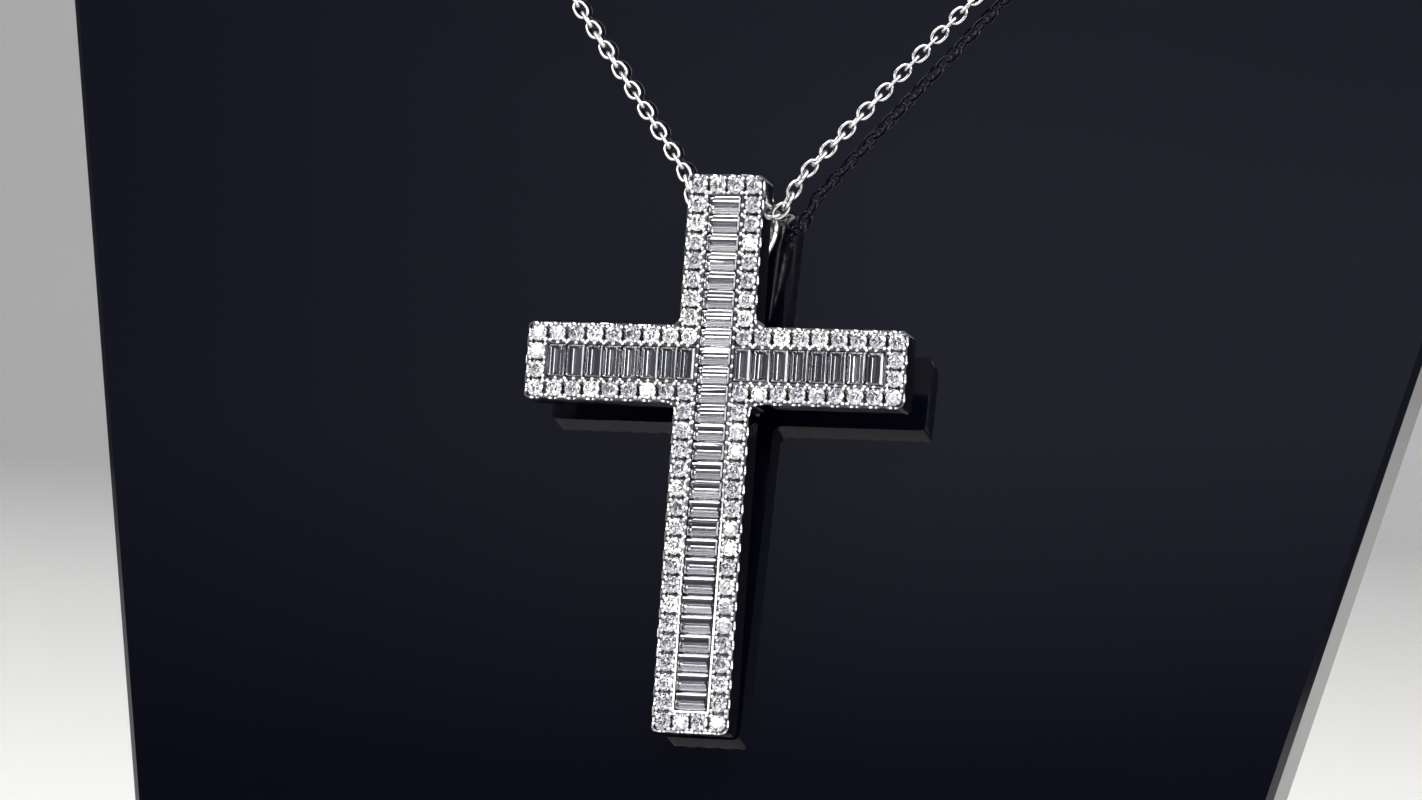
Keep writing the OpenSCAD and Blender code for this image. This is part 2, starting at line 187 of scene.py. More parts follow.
class ChainSizes(bpy.types.PropertyGroup):
    """Sizes of the chain and its clasp."""

    link_l: length("Link Length", "Outer length of a link", 0.00145)
    link_w: length("Link Width", "Outer width of a link", 0.0010)
    wire_d: length("Wire", "Thickness of a link's wire", 0.00023)
    pitch: length("Pitch", "Distance from link to link", 0.00084)
    twist: angle("Twist", "Turn of the right strand's links beside the bail", 45)
    clasp_d: length("Clasp Ring", "Outer diameter of the clasp's ring", 0.0055)
    clasp_wire: length("Clasp Wire", "Thickness of the clasp's ring", 0.0010)
    eye_d: length("Eye", "Outer diameter of an eye beside the ring", 0.0020)
    eye_wire: length("Eye Wire", "Thickness of an eye", 0.0005)
    metal: colour("Metal", "Colour of the polished white gold", (0.86, 0.86, 0.85))
    # Painted shade: the colour that the metal is darkened towards, deep in the groove, on the
    # cross's outer sides and over the links
    grime: colour("Grime", "Colour of the metal deep between the stones", (0.27, 0.27, 0.28))
    # Painted shade over the whole chain, which holds back the bright light on its links
    dulling: share("Dulling", "How far the links are toned down to that colour", 0.35)


class StandSizes(bpy.types.PropertyGroup):
    """Place and finish of the board."""

    lean: angle("Lean", "How far the board leans back", 15)
    foot_z: length("Foot Height", "Height of the cross's foot above the table", 0.036)
    board_front: length("Board Front", "How far in front the face is at that height", 0.012)
    black: colour("Black", "Colour of the board under its gloss", (0.0010, 0.0010, 0.0035))
    dust: colour("Dust", "Colour of the specks of dust on the board", (0.30, 0.30, 0.32))
    dust_room: length("Dust Spacing", "Rough distance between two specks of dust", 0.012)


class StudioSizes(bpy.types.PropertyGroup):
    """Camera, lights and floor."""

    camera_at: place("Camera", "Where the camera stands", (0.08148, -0.31014, 0.06732))
    camera_aim: place("Aim", "What the camera points at", (0.000122, -0.010146, 0.056925))
    camera_roll: angle("Roll", "How far the camera leans to its left", 3.056)
    lens: number("Lens", "Focal length in millimetres", 126.58, min=1)
    floor_w: length("Floor", "Width of the floor", 3.0)
    floor_tint: colour("Floor Colour", "Colour of the floor and the wall", (0.78, 0.77, 0.75))
    glow: colour("Glow", "Colour of the soft tent of light", (0.86, 0.89, 1.0))
    gap_glow: colour("Gap Glow", "Colour of the dim gap that the board mirrors", (0.79, 0.82, 1.0))
    tent: number("Tent", "Brightness of the tent of light in front", 0.2)


GROUPS = {
    "pendant_cross": CrossSizes,
    "pendant_stones": StoneSizes,
    "pendant_chain": ChainSizes,
    "pendant_stand": StandSizes,
    "pendant_studio": StudioSizes,
}


def at_bench(group):
    """A group's values at the bench's scale: lengths in millimetres, all else as it is."""
    values = types.SimpleNamespace()
    for prop in group.bl_rna.properties:
        if prop.identifier in ("rna_type", "name"):
            continue
        value = getattr(group, prop.identifier)
        if getattr(prop, "unit", "NONE") == "LENGTH":
            value = value * BENCH
        setattr(values, prop.identifier, value)
    return values


# Shader maths

class Socket:
    """An output of a node, with operators that add Math nodes behind it."""

    def __init__(self, tree, output):
        self.tree = tree
        self.output = output

    def maths(self, operation, a, b=0.0):
        return self.tree.node("ShaderNodeMath", {"operation": operation}, {0: a, 1: b})

    def __add__(self, other):
        return self.maths("ADD", self, other)

    def __radd__(self, other):
        return self.maths("ADD", other, self)

    def __sub__(self, other):
        return self.maths("SUBTRACT", self, other)

    def __rsub__(self, other):
        return self.maths("SUBTRACT", other, self)

    def __mul__(self, other):
        return self.maths("MULTIPLY", self, other)

    def __rmul__(self, other):
        return self.maths("MULTIPLY", other, self)

    def __gt__(self, other):
        return self.maths("GREATER_THAN", self, other)

    def __lt__(self, other):
        return self.maths("LESS_THAN", self, other)


class Tree:
    """A node tree with one method that adds a node."""

    def __init__(self, owner):
        owner.use_nodes = True
        self.tree = owner.node_tree
        self.tree.nodes.clear()

    def node(self, kind, settings=None, inputs=None, output=0):
        """Adds a node with its settings, then the values or links of its sockets."""
        made = self.tree.nodes.new(kind)
        for name, value in (settings or {}).items():
            setattr(made, name, value)
        for name, value in (inputs or {}).items():
            if isinstance(value, Socket):
                self.tree.links.new(value.output, made.inputs[name])
            elif value is not None:
                made.inputs[name].default_value = value
        return Socket(self, made.outputs[output]) if made.outputs else None

    def mix(self, factor, a, b):
        """One colour turning into another. The node's sockets go by number: it has some for
        every kind of value."""
        a, b = (shade if isinstance(shade, Socket) else (*shade, 1) for shade in (a, b))
        return self.node("ShaderNodeMix", {"data_type": "RGBA"}, {0: factor, 6: a, 7: b}, 2)

    def place(self):
        """The piece's own coordinates, in metres."""
        return self.node("ShaderNodeTexCoord", output="Object")

    def noise(self, scale, detail=2.0, roughness=0.5):
        """A cloudy value from 0 to 1, its scale in clouds to the metre."""
        return self.node(
            "ShaderNodeTexNoise", {},
            {"Vector": self.place(), "Scale": scale, "Detail": detail, "Roughness": roughness},
        )

    def spread(self, value, low, high, to_low, to_high):
        """Carries a value from one range to another and holds it there."""
        return self.node(
            "ShaderNodeMapRange", {"clamp": True},
            {
                "Value": value, "From Min": low, "From Max": high,
                "To Min": to_low, "To Max": to_high,
            },
        )

    def bump(self, height, strength, distance):
        """A normal from a height."""
        return self.node(
            "ShaderNodeBump", {}, {"Height": height, "Strength": strength, "Distance": distance}
        )

    def surface(self, inputs):
        """Ends the material in a Principled shader."""
        shader = self.node("ShaderNodeBsdfPrincipled", {}, inputs)
        self.node("ShaderNodeOutputMaterial", {}, {"Surface": shader})


def white_gold(name):
    """Polished white gold with faint wipe marks. A face attribute darkens it with painted shade,
    down in the groove, on the cross's sides and over the links.
    """
    made = bpy.data.materials.new(name)
    metal = tuple(bpy.context.scene.pendant_chain.metal)
    worn = tuple(0.93 * part for part in metal)
    grime = tuple(bpy.context.scene.pendant_chain.grime)
    t = Tree(made)
    recess = t.node("ShaderNodeAttribute", {"attribute_name": "recess"}, output="Fac")
    cloud = t.noise(900, 3)
    fine = t.noise(9000, 2)
    tone = t.mix(t.spread(cloud, 0.3, 0.7, 0, 1), metal, worn)
    t.surface({
        # Painted shade: darker towards the shade colour wherever the face attribute asks for it
        "Base Color": t.mix(recess, tone, grime),
        "Metallic": 1.0,
        "Roughness": t.spread(cloud + 0.5 * fine, 0.4, 1.1, 0.05, 0.16),
        "Normal": t.bump(fine, 0.08, 0.00002),
    })
    return made


def diamond(name):
    """Clear cut stone. The face attribute shade says how grey a stone is: partly its own random
    tone, partly painted shade that dims the round stones and the side arms.
    """
    made = bpy.data.materials.new(name)
    stones = bpy.context.scene.pendant_stones
    t = Tree(made)
    shade = t.node("ShaderNodeAttribute", {"attribute_name": "shade"}, output="Fac")
    t.surface({
        "Base Color": t.mix(shade, tuple(stones.clear_tint), tuple(stones.grey_tint)),
        "Roughness": 0.0,
        "IOR": 2.417,
        "Transmission Weight": 1.0,
    })
    return made


def black_acrylic():
    """Black acrylic with a high gloss, faint smears and a few specks of dust."""
    made = bpy.data.materials.new("Black Acrylic")
    stand = bpy.context.scene.pendant_stand
    t = Tree(made)
    smear = t.noise(26, 4, 0.6)
    from_middle, chance = (
        t.node(
            "ShaderNodeTexVoronoi", {"feature": "F1"},
            {"Vector": t.place(), "Scale": 1 / stand.dust_room, "Randomness": 1.0}, output,
        )
        for output in ("Distance", "Color")
    )
    speck_r = 0.014
    bare_share = 0.55
    speck = (from_middle < speck_r) * (chance > bare_share)
    t.surface({
        "Base Color": t.mix(speck, tuple(stand.black), tuple(stand.dust)),
        "Roughness": t.spread(smear, 0.35, 0.75, 0.015, 0.06) + speck * 0.5,
        "IOR": 1.49,
        "Normal": t.bump(t.noise(7, 1), 0.02, 0.001),
    })
    return made


def pale_paint(tint):
    """The floor's and the wall's smooth pale paint."""
    made = bpy.data.materials.new("Pale Paint")
    fresh = tuple(tint)
    faded = tuple(0.96 * part for part in tint)
    t = Tree(made)
    cloud = t.noise(3, 4)
    t.surface({
        "Base Color": t.mix(t.spread(cloud, 0.3, 0.7, 0, 1), fresh, faded),
        "Roughness": 0.75,
        "Normal": t.bump(t.noise(1800, 2), 0.05, 0.0002),
    })
    return made


# Modelling by operators

def deselect():
    """Selects nothing, so that an operator acts on the next new object alone."""
    if bpy.context.object and bpy.context.object.mode != "OBJECT":
        bpy.ops.object.mode_set(mode="OBJECT")
    bpy.ops.object.select_all(action="DESELECT")


def take(*objects):
    """Selects these objects alone, with the first one active."""
    deselect()
    for item in objects:
        item.select_set(True)
    bpy.context.view_layer.objects.active = objects[0]
    return objects[0]


def edit(item, kind="VERT"):
    """Opens one object in edit mode with nothing selected."""
    take(item)
    bpy.ops.object.mode_set(mode="EDIT")
    bpy.ops.mesh.select_mode(type=kind)
    bpy.ops.mesh.select_all(action="DESELECT")


def done():
    """Leaves edit mode."""
    bpy.ops.object.mode_set(mode="OBJECT")


def pick(kind, test):
    """Selects the open object's faces, edges or verts that pass a test, and says how many."""
    mesh = bpy.context.object.data
    open_mesh = bmesh.from_edit_mesh(mesh)
    bpy.ops.mesh.select_all(action="DESELECT")
    found = [element for element in getattr(open_mesh, kind) if test(element)]
    for element in found:
        element.select_set(True)
    bmesh.update_edit_mesh(mesh)
    return len(found)


def push(x=0, y=0, z=0):
    """Extrudes what is selected."""
    bpy.ops.mesh.extrude_region_move(TRANSFORM_OT_translate={"value": (x, y, z)})


def modify(item, kind, **settings):
    """Adds a modifier to an object and applies it."""
    take(item)
    modifier = item.modifiers.new(kind.title(), kind)
    for name, value in settings.items():
        setattr(modifier, name, value)
    bpy.ops.object.modifier_apply(modifier=modifier.name)


def mark_faces(mesh, name, values):
    """Gives every face of a mesh a value that a material reads."""
    layer = mesh.attributes.new(name, "FLOAT", "FACE")
    layer.data.foreach_set("value", values)


def copies(model, places, shades=None):
    """Puts a copy of a model at each place, each with its own mesh, and joins them.

    Where shades are given, the faces of each copy carry its own."""
    made = []
    for k, matrix in enumerate(places):
        item = model.copy()
        item.data = model.data.copy()
        item.data.transform(matrix)
        if shades:
            mark_faces(item.data, "shade", [shades[k]] * len(item.data.polygons))
        bpy.context.scene.collection.objects.link(item)
        made.append(item)
    bpy.data.objects.remove(model)
    take(*made)
    bpy.ops.object.join()
    return made[0]


FINISHES = {"white_gold": white_gold, "diamond": diamond}


def finish_of(slot):
    """A slot's material, made when it is first needed and named for its slot."""
    name = slot.replace("_", " ").title()
    return bpy.data.materials.get(name) or FINISHES[slot](name)


def finish_piece(item, name, body, slot, smooth=None, stands_for=()):
    """Brings a piece down from the bench to its place, names it, dresses it and lets it ride."""
    take(item)
    bpy.ops.object.transform_apply(location=True, rotation=True, scale=True)
    hung = pendant_place() if body == "pendant" else Matrix.Identity(4)
    item.data.transform(hung @ TO_METRES)
    item.name = name
    item.data.name = name
    item.data.materials.clear()
    item.data.materials.append(finish_of(slot))
    if smooth is None:
        bpy.ops.object.shade_flat()
    else:
        bpy.ops.object.shade_smooth_by_angle(angle=math.radians(smooth))
    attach(item, body)
    if stands_for:
        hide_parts(*stands_for)
    return item


# Places on the stand and in the cross

def board_axes():
    """The ways up the board and out from its face, and the place on it at the cross's foot."""
    stand = bpy.context.scene.pendant_stand
    up = Vector((0, math.sin(stand.lean), math.cos(stand.lean)))
    out = Vector((0, -math.cos(stand.lean), math.sin(stand.lean)))
    return up, out, Vector((0, -stand.board_front, stand.foot_z))


def pivot():
    """Where the pendant's hinge runs through its bail, in metres."""
    return Vector(frame["joints"][0]["pos_m"])


def pivot_height(c):
    """How high above the cross's foot the chain runs, in the pendant's own frame."""
    return c.cross_h - c.bail_head_h - c.bore_d / 2 - c.seat_drop


def pendant_place():
    """Carries the pendant from its own frame, back on y = 0 and foot on z = 0, to the chain."""
    cross = bpy.context.scene.pendant_cross
    stand_off = math.atan(cross.bail_depth / (cross.cross_h - BAIL_PEAK * cross.bail_h))
    return (
        Matrix.Translation(pivot())
        @ Matrix.Rotation(stand_off - bpy.context.scene.pendant_stand.lean, 4, "X")
        @ Matrix.Rotation(-cross.hang_tilt, 4, "Y")
        @ Matrix.Translation((0, -cross.chain_behind, -pivot_height(cross)))
    )


def cross_corners(c, inset):
    """The cross's twelve corners, counter-clockwise from the lower left, drawn in by an inset."""
    w = c.arm_w / 2 - inset
    s = c.arm_span / 2 - inset
    high = c.cross_h - c.arm_drop - inset
    low = c.cross_h - c.arm_drop - c.arm_w + inset
    foot = inset
    top = c.cross_h - inset
    return [
        (-w, foot), (w, foot), (w, low), (s, low), (s, high), (w, high),
        (w, top), (-w, top), (-w, high), (-s, high), (-s, low), (-w, low),
    ]


def is_inner(k):
    """Whether the corner of this number is one of the four where the arms meet."""
    return k % 3 == 2


def depth_in(c, x, z):
    """How far a place is inside the cross's outline."""
    upright = min(c.arm_w / 2 - abs(x), z, c.cross_h - z)
    high = c.cross_h - c.arm_drop
    arms = min(c.arm_span / 2 - abs(x), z - high + c.arm_w, high - z)
    return max(upright, arms)


def row_places(c, room, at):
    """Places along the closed row of round stones: at = 0 for stones, 0.5 for the gaps between.

    Each entry is a place, the way along the row and the way out across it."""
    corners = [Vector(p) for p in cross_corners(c, c.rim_w + c.groove_w / 2)]
    places = []
    for k, start in enumerate(corners):
        end = corners[(k + 1) % len(corners)]
        run = end - start
        count = max(1, math.floor(run.length / room))
        along = run.normalized()
        for j in range(count):
            spot = start + run * (j + at) / count
            places.append((spot, along, Vector((along.y, -along.x))))
    return places


def baguette_rows(c, room):
    """The three rows of baguettes as (places, True if the row stands upright)."""
    channel_inset = c.rim_w + c.groove_w + c.rail_w
    corners = cross_corners(c, channel_inset)
    mid = c.cross_h - c.arm_drop - c.arm_w / 2
    inner = c.arm_w / 2 - c.rim_w - c.groove_w
    rows = [(Vector((0, corners[0][1])), Vector((0, corners[6][1])), True)]
    for side in (-1, 1):
        rows.append((Vector((side * inner, mid)), Vector((side * corners[3][0], mid)), False))
    made = []
    for start, end, upright in rows:
        count = max(1, math.floor((end - start).length / room))
        made.append(([start + (end - start) * (j + 0.5) / count for j in range(count)], upright))
    return made


# The cross

def on_front(c, face, inset):
    """Whether a face lies on the cross's front, further inside its outline than an inset."""
    centre = face.calc_center_median()
    level = face.normal.y < -FACING and abs(centre.y + c.metal_t) < NEAR
    return level and depth_in(c, centre.x, centre.z) > inset


def cross_plate(c):
    """The cross's metal with its groove, rails and channels, front on y = -metal_t."""
    half = c.arm_w / 2
    mid = c.cross_h - c.arm_drop - half
    rail_inset = c.rim_w + c.groove_w
    bpy.ops.mesh.primitive_cube_add(size=1, location=(0, -c.metal_t / 2, mid))
    plate = bpy.context.object
    plate.scale = (c.arm_w, c.metal_t, c.arm_w)
    bpy.ops.object.transform_apply(location=True, rotation=True, scale=True)
    edit(plate, "FACE")
    pick("faces", lambda f: f.normal.z > FACING)
    push(z=c.arm_drop)
    pick("faces", lambda f: f.normal.z < -FACING)
    push(z=half - mid)
    for side in (-1, 1):

        def is_arm_end(face):
            level = abs(face.calc_center_median().z - mid) < half
            return level and face.normal.x * side > FACING

        pick("faces", is_arm_end)
        push(x=side * (c.arm_span / 2 - half))
    pick("faces", lambda f: f.normal.y < -FACING)
    bpy.ops.mesh.inset(thickness=c.rim_w)
    bpy.ops.mesh.inset(thickness=c.groove_w, use_select_inset=True)
    push(y=c.shelf_depth)
    pick("faces", lambda f: on_front(c, f, rail_inset))
    bpy.ops.mesh.inset(thickness=c.rail_w)
    cut_channels(c, rail_inset + c.rail_w)
    round_corners(c)
    done()
    return plate


def cut_channels(c, inset):
    """Sinks the baguettes' channels, with a rail left standing on each side of the upright's."""
    inner = c.arm_w / 2 - inset
    outer = inner + c.rail_w
    for side in (-1, 1):
        pick("faces", lambda f: on_front(c, f, inset))
        bpy.ops.mesh.bisect(plane_co=(side * outer, 0, 0), plane_no=(1, 0, 0))

    def in_channel(face):
        across = abs(face.calc_center_median().x)
        return on_front(c, face, inset) and (across < inner or across > outer)

    pick("faces", in_channel)
    push(y=c.pocket_depth)


def round_corners(c):
    """Rounds the cross's outer corners and fills its inner ones, outside and in the groove."""
    bpy.ops.mesh.select_mode(type="EDGE")
    for inset in (0, c.rim_w):
        corners = cross_corners(c, inset)
        for inner_ones, radius in ((False, c.corner_r - inset), (True, c.fillet_r + inset)):
            spots = [p for k, p in enumerate(corners) if is_inner(k) == inner_ones]

            def stands_on_corner(edge):
                ends = [v.co for v in edge.verts]
                if abs(ends[0].y - ends[1].y) < NEAR:
                    return False
                return any(
                    all(abs(end.x - x) < NEAR and abs(end.z - z) < NEAR for end in ends)
                    for x, z in spots
                )

            pick("edges", stands_on_corner)
            bpy.ops.mesh.bevel(offset=radius, segments=4, affect="EDGES", clamp_overlap=False)


def seat_drills(c, s):
    """Rods that drill the seat under each round stone."""
    bpy.ops.mesh.primitive_cylinder_add(vertices=20, radius=c.seat_d / 2, depth=2 * c.pocket_depth)
    stand_back = Matrix.Rotation(math.radians(90), 4, "X")
    places = []
    for spot, _, _ in row_places(c, s.round_pitch, 0):
        places.append(Matrix.Translation((spot.x, -c.metal_t, spot.y)) @ stand_back)
    return copies(bpy.context.object, places)


def scallop_cutters(c, s):
    """Rods that cut a dip in the rim beside each round stone."""
    overshoot = 0.3
    length_across = c.rim_w + 2 * overshoot
    bpy.ops.mesh.primitive_cylinder_add(vertices=14, radius=c.scallop_r, depth=length_across)
    rod = bpy.context.object
    level = c.scallop_depth - c.scallop_r - c.metal_t
    places = []
    corners = cross_corners(c, c.rim_w + c.groove_w / 2)
    for spot, along, out in row_places(c, s.round_pitch, 0):
        ways = [out]
        for k, (x, z) in enumerate(corners):
            if (spot - Vector((x, z))).length < NEAR:
                ways = []
                if not is_inner(k):
                    before = Vector(corners[k]) - Vector(corners[k - 1])
                    ways = [out, Vector((before.y, -before.x)).normalized()]
        for way in ways:
            wall = spot + way * (c.groove_w / 2 + c.rim_w / 2)
            axis = Vector((way.x, 0, way.y))
            turn = Vector((0, 0, 1)).rotation_difference(axis).to_matrix().to_4x4()
            places.append(Matrix.Translation((wall.x, level, wall.y)) @ turn)
    return copies(rod, places)


def cross_frame(c, s):
    """The cross's metal, with scalloped rims and every edge eased."""
    plate = cross_plate(c)
    modify(
        plate, "BEVEL", width=c.edge_r, segments=2, limit_method="ANGLE",
        angle_limit=math.radians(40),
    )
    for rods in (scallop_cutters(c, s), seat_drills(c, s)):
        modify(plate, "BOOLEAN", object=rods, operation="DIFFERENCE", solver="MANIFOLD")
        bpy.data.objects.remove(rods)
    # Painted shade on the outer sides and down in the groove
    mark_faces(plate.data, "recess", [painted_shade_of(c, face) for face in plate.data.polygons])
    return plate


def painted_shade_of(c, face):
    """How far painted shade darkens a face of the cross's metal, on its sides and down in the
    groove.
    """
    x, y, z = face.center
    inside = depth_in(c, x, z) > c.rim_w / 2
    upright = abs(face.normal.y) < 0.2
    behind_groove = y > -0.6 * c.metal_t
    if upright and (not inside or behind_groove):
        return c.side_dulling
    if inside and y < -c.metal_t / 2:
        return min(1.0, max(0.0, (y + c.metal_t) / c.shelf_depth))
    return 0.0


def beads(c, s):
    """Beads between the round stones, two to each side of a gap, and grains on the rails."""
    bpy.ops.mesh.primitive_uv_sphere_add(segments=8, ring_count=6, radius=c.bead_d / 2)
    bead = bpy.context.object
    across = c.groove_w / 2 - 0.3 * c.bead_d
    apart = 0.5 * c.bead_d
    root = 0.02
    half_post = (c.bead_rise + c.shelf_depth) / 2 + root
    post = Matrix.Diagonal((1, half_post / (c.bead_d / 2), 1, 1))
    level = half_post - c.bead_rise - c.metal_t
    places = []
    for spot, along, out in row_places(c, s.round_pitch, 0.5):
        for side in (-1, 1):
            for step in (-1, 1):
                p = spot + out * side * across + along * step * apart
                places.append(Matrix.Translation((p.x, level, p.y)) @ post)
    off_centre = c.arm_w / 2 - c.rim_w - c.groove_w - c.rail_w / 2
    grain = Matrix.Scale(c.grain_d / c.bead_d, 4)
    for spots, upright in baguette_rows(c, s.baguette_room):
        between = [(here + there) / 2 for here, there in zip(spots, spots[1:])]
        for middle in between + spots:
            for off in (-off_centre, off_centre):
                p = middle + Vector((off, 0) if upright else (0, off))
                places.append(Matrix.Translation((p.x, -c.metal_t, p.y)) @ grain)
    return copies(bead, places)


def bail(c):
    """The polished loop on the back, a flat shape with round edges that narrows to its foot."""
    side_gap = 0.05
    width = c.arm_w - 2 * side_gap
    rounding = 0.45 * c.bail_wall
    outer = [(d * c.bail_depth, -h * c.bail_h) for h, d in BAIL_LINE]
    opening_h = c.bail_h - c.bail_head_h - c.bail_foot_h
    opening_depth = c.bail_depth - c.bail_wall
    inner = [(d * opening_depth, -c.bail_head_h - h * opening_h) for h, d in BAIL_LINE]
    root = -c.metal_t / 4
    deselect()
    bpy.ops.curve.primitive_bezier_curve_add()
    loop = bpy.context.object
    data = loop.data
    data.splines.clear()
    data.dimensions = "2D"
    data.fill_mode = "BOTH"
    data.resolution_u = 5
    data.extrude = width / 2 - rounding
    data.bevel_depth = rounding
    data.bevel_resolution = 3
    data.offset = -rounding
    for line, ends in ((outer, [(root, outer[-1][1]), (root, outer[0][1])]), (inner, [])):
        spline = data.splines.new("BEZIER")
        points = line + ends
        spline.bezier_points.add(len(points) - 1)
        for k, (point, (x, y)) in enumerate(zip(spline.bezier_points, points)):
            point.co = (x, y, 0)
            kind = "AUTO" if 0 < k < len(line) - 1 else "VECTOR"
            point.handle_left_type = kind
            point.handle_right_type = kind
        spline.use_cyclic_u = True
    take(loop)
    bpy.ops.object.convert(target="MESH")
    loop = bpy.context.object
    # Drawn as (back, height) in the curve's plane, stood up so that back is +y and height +z
    stand_up = Matrix(((0, 0, 1, 0), (1, 0, 0, 0), (0, 1, 0, c.cross_h), (0, 0, 0, 1)))
    loop.data.transform(stand_up)
    peak = c.cross_h - BAIL_PEAK * c.bail_h
    foot = c.cross_h - c.bail_h
    for vertex in loop.data.vertices:
        down = min(1, max(0, (peak - vertex.co.z) / (peak - foot)))
        vertex.co.x *= 1 + (c.bail_foot_w / width - 1) * down
    edit(loop)
    bpy.ops.mesh.select_all(action="SELECT")
    bpy.ops.mesh.remove_doubles(threshold=0.002)
    bpy.ops.mesh.normals_make_consistent(inside=False)
    done()
    bpy.ops.mesh.primitive_cylinder_add(
        vertices=40, radius=c.bore_d / 2, depth=2 * width,
        location=(0, c.chain_behind, pivot_height(c)), rotation=(0, math.radians(90), 0),
    )
    bore = bpy.context.object
    modify(loop, "BOOLEAN", object=bore, operation="DIFFERENCE", solver="MANIFOLD")
    bpy.data.objects.remove(bore)
    return loop


# The stones

def cut_stone(rings):
    """A stone as the hull of its rings of corners.

    Each ring is (corners, half width, half length, height, turn)."""
    deselect()
    model = None
    for corners, half_w, half_l, height, turn in rings:
        bpy.ops.mesh.primitive_circle_add(
            vertices=corners, radius=1, location=(0, 0, 0), rotation=(0, 0, turn)
        )
        if model is None:
            model = bpy.context.object
            take(model)
            bpy.ops.object.transform_apply(location=False, rotation=True, scale=False)
            bpy.ops.object.mode_set(mode="EDIT")
            bpy.ops.mesh.select_all(action="SELECT")
        bpy.ops.transform.resize(value=(half_w, half_l, 1), center_override=(0, 0, 0))
        bpy.ops.transform.translate(value=(0, 0, height))
    bpy.ops.mesh.select_all(action="SELECT")
    bpy.ops.mesh.convex_hull(join_triangles=False)
    bpy.ops.mesh.select_all(action="SELECT")
    bpy.ops.mesh.dissolve_limited(angle_limit=math.radians(0.6))
    bpy.ops.mesh.select_all(action="SELECT")
    bpy.ops.mesh.normals_make_consistent(inside=False)
    done()
    return model


def brilliant(s):
    """A round brilliant, table up, its girdle round the origin."""
    step = math.radians(22.5)
    r = s.round_d / 2
    girdle = 0.03 * r
    table = s.table * r
    mid_x = table + 0.48 * (r - table)
    low_x = 0.24 * r
    mid_r = mid_x / math.cos(step)
    low_r = low_x / math.cos(step)
    crown = s.crown_h - girdle
    depth = s.pavilion_h - girdle
    return cut_stone([
        (8, table, table, s.crown_h, 0),
        (8, mid_r, mid_r, girdle + crown * (r - mid_x) / (r - table), step),
        (16, r, r, girdle, 0),
        (16, r, r, -girdle, 0),
        (8, low_r, low_r, -girdle - depth * (1 - low_x / r), step),
        (8, 0.02 * r, 0.02 * r, -s.pavilion_h, 0),
    ])


def step_cut(s):
    """A straight baguette, table up, its length along y."""
    corner = math.radians(45)
    root2 = math.sqrt(2)
    half_w = s.baguette_w / 2 * root2
    half_l = s.baguette_l / 2 * root2
    girdle = 0.02
    # Each step: share of the half width, what its ends are cut by as a share of it, height
    steps = [
        (0.63, 0.25, s.crown_h),
        (0.84, 0.11, 0.62 * s.crown_h),
        (1, 0, girdle),
        (1, 0, -girdle),
        (0.78, 0.15, -0.34 * s.baguette_depth),
        (0.42, 0.35, -0.70 * s.baguette_depth),
        (0.02, 0.55, -s.baguette_depth),
    ]
    return cut_stone([
        (4, wide * half_w, half_l - ends * half_w, height, corner) for wide, ends, height in steps
    ])


# Most that a stone sits higher or lower than the rest, in millimetres
SINK_SPREAD = 0.012


def set_stones(model, spots, c, s, wobble, seed):
    """Sets copies of a stone at (place, turn, size, greyness) spots, each a little out of true."""
    chance = random.Random(seed)
    face_out = Matrix.Rotation(math.radians(90), 4, "X")
    places = []
    shades = []
    for spot, turn, stretch, grey in spots:
        lean = [chance.uniform(-wobble, wobble) for _ in range(2)]
        sink = s.girdle_sink + chance.uniform(-SINK_SPREAD, SINK_SPREAD)
        shades.append(min(1.0, max(0.0, chance.gauss(grey, s.grey_spread))))
        places.append(
            Matrix.Translation((spot.x, sink - c.metal_t, spot.y))
            @ face_out
            @ Matrix.Rotation(turn, 4, "Z")
            @ Matrix.Rotation(lean[0], 4, "X")
            @ Matrix.Rotation(lean[1], 4, "Y")
            @ Matrix.Scale(stretch, 4)
        )
    return copies(model, places, shades)


# The chain

def chain_points():
    """The loop's route as points in metres, from the left end at the clasp to the right one."""
    up, out, foot = board_axes()
    here = pivot() - foot
    start = (0.0028, here.dot(up), here.dot(out), 0)
    half = []
    for across, rise, reach, drop in [start] + CHAIN_ROUTE:
        half.append(foot + Vector((across, 0, -drop)) + up * rise + out * reach)
    mirrored = [Vector((-p.x, p.y, p.z)) for p in reversed(half)]
    return mirrored + half


def along_route(points, distance):
    """The place at a distance along a route."""
    for a, b in zip(points, points[1:]):
        step = (b - a).length
        if distance <= step:
            return a.lerp(b, distance / step)
        distance -= step
    return points[-1] + (points[-1] - points[-2]).normalized() * distance


def link(k):
    """One oval link, its length along x and lying in the plane z = 0."""
    ovalness = 0.6
    bend = (k.link_w - k.wire_d) / 2
    bpy.ops.mesh.primitive_torus_add(
        major_segments=16, minor_segments=6, major_radius=bend, minor_radius=k.wire_d / 2
    )
    made = bpy.context.object
    for vertex in made.data.vertices:
        lengthwise = vertex.co.x / vertex.co.xy.length
        stretch = math.copysign(abs(lengthwise) ** ovalness, lengthwise)
        vertex.co.x += stretch * (k.link_l - k.link_w) / 2
    # Painted shade over the whole link, to hold back the bright light on the chain
    mark_faces(made.data, "recess", [k.dulling] * len(made.data.polygons))
    return made


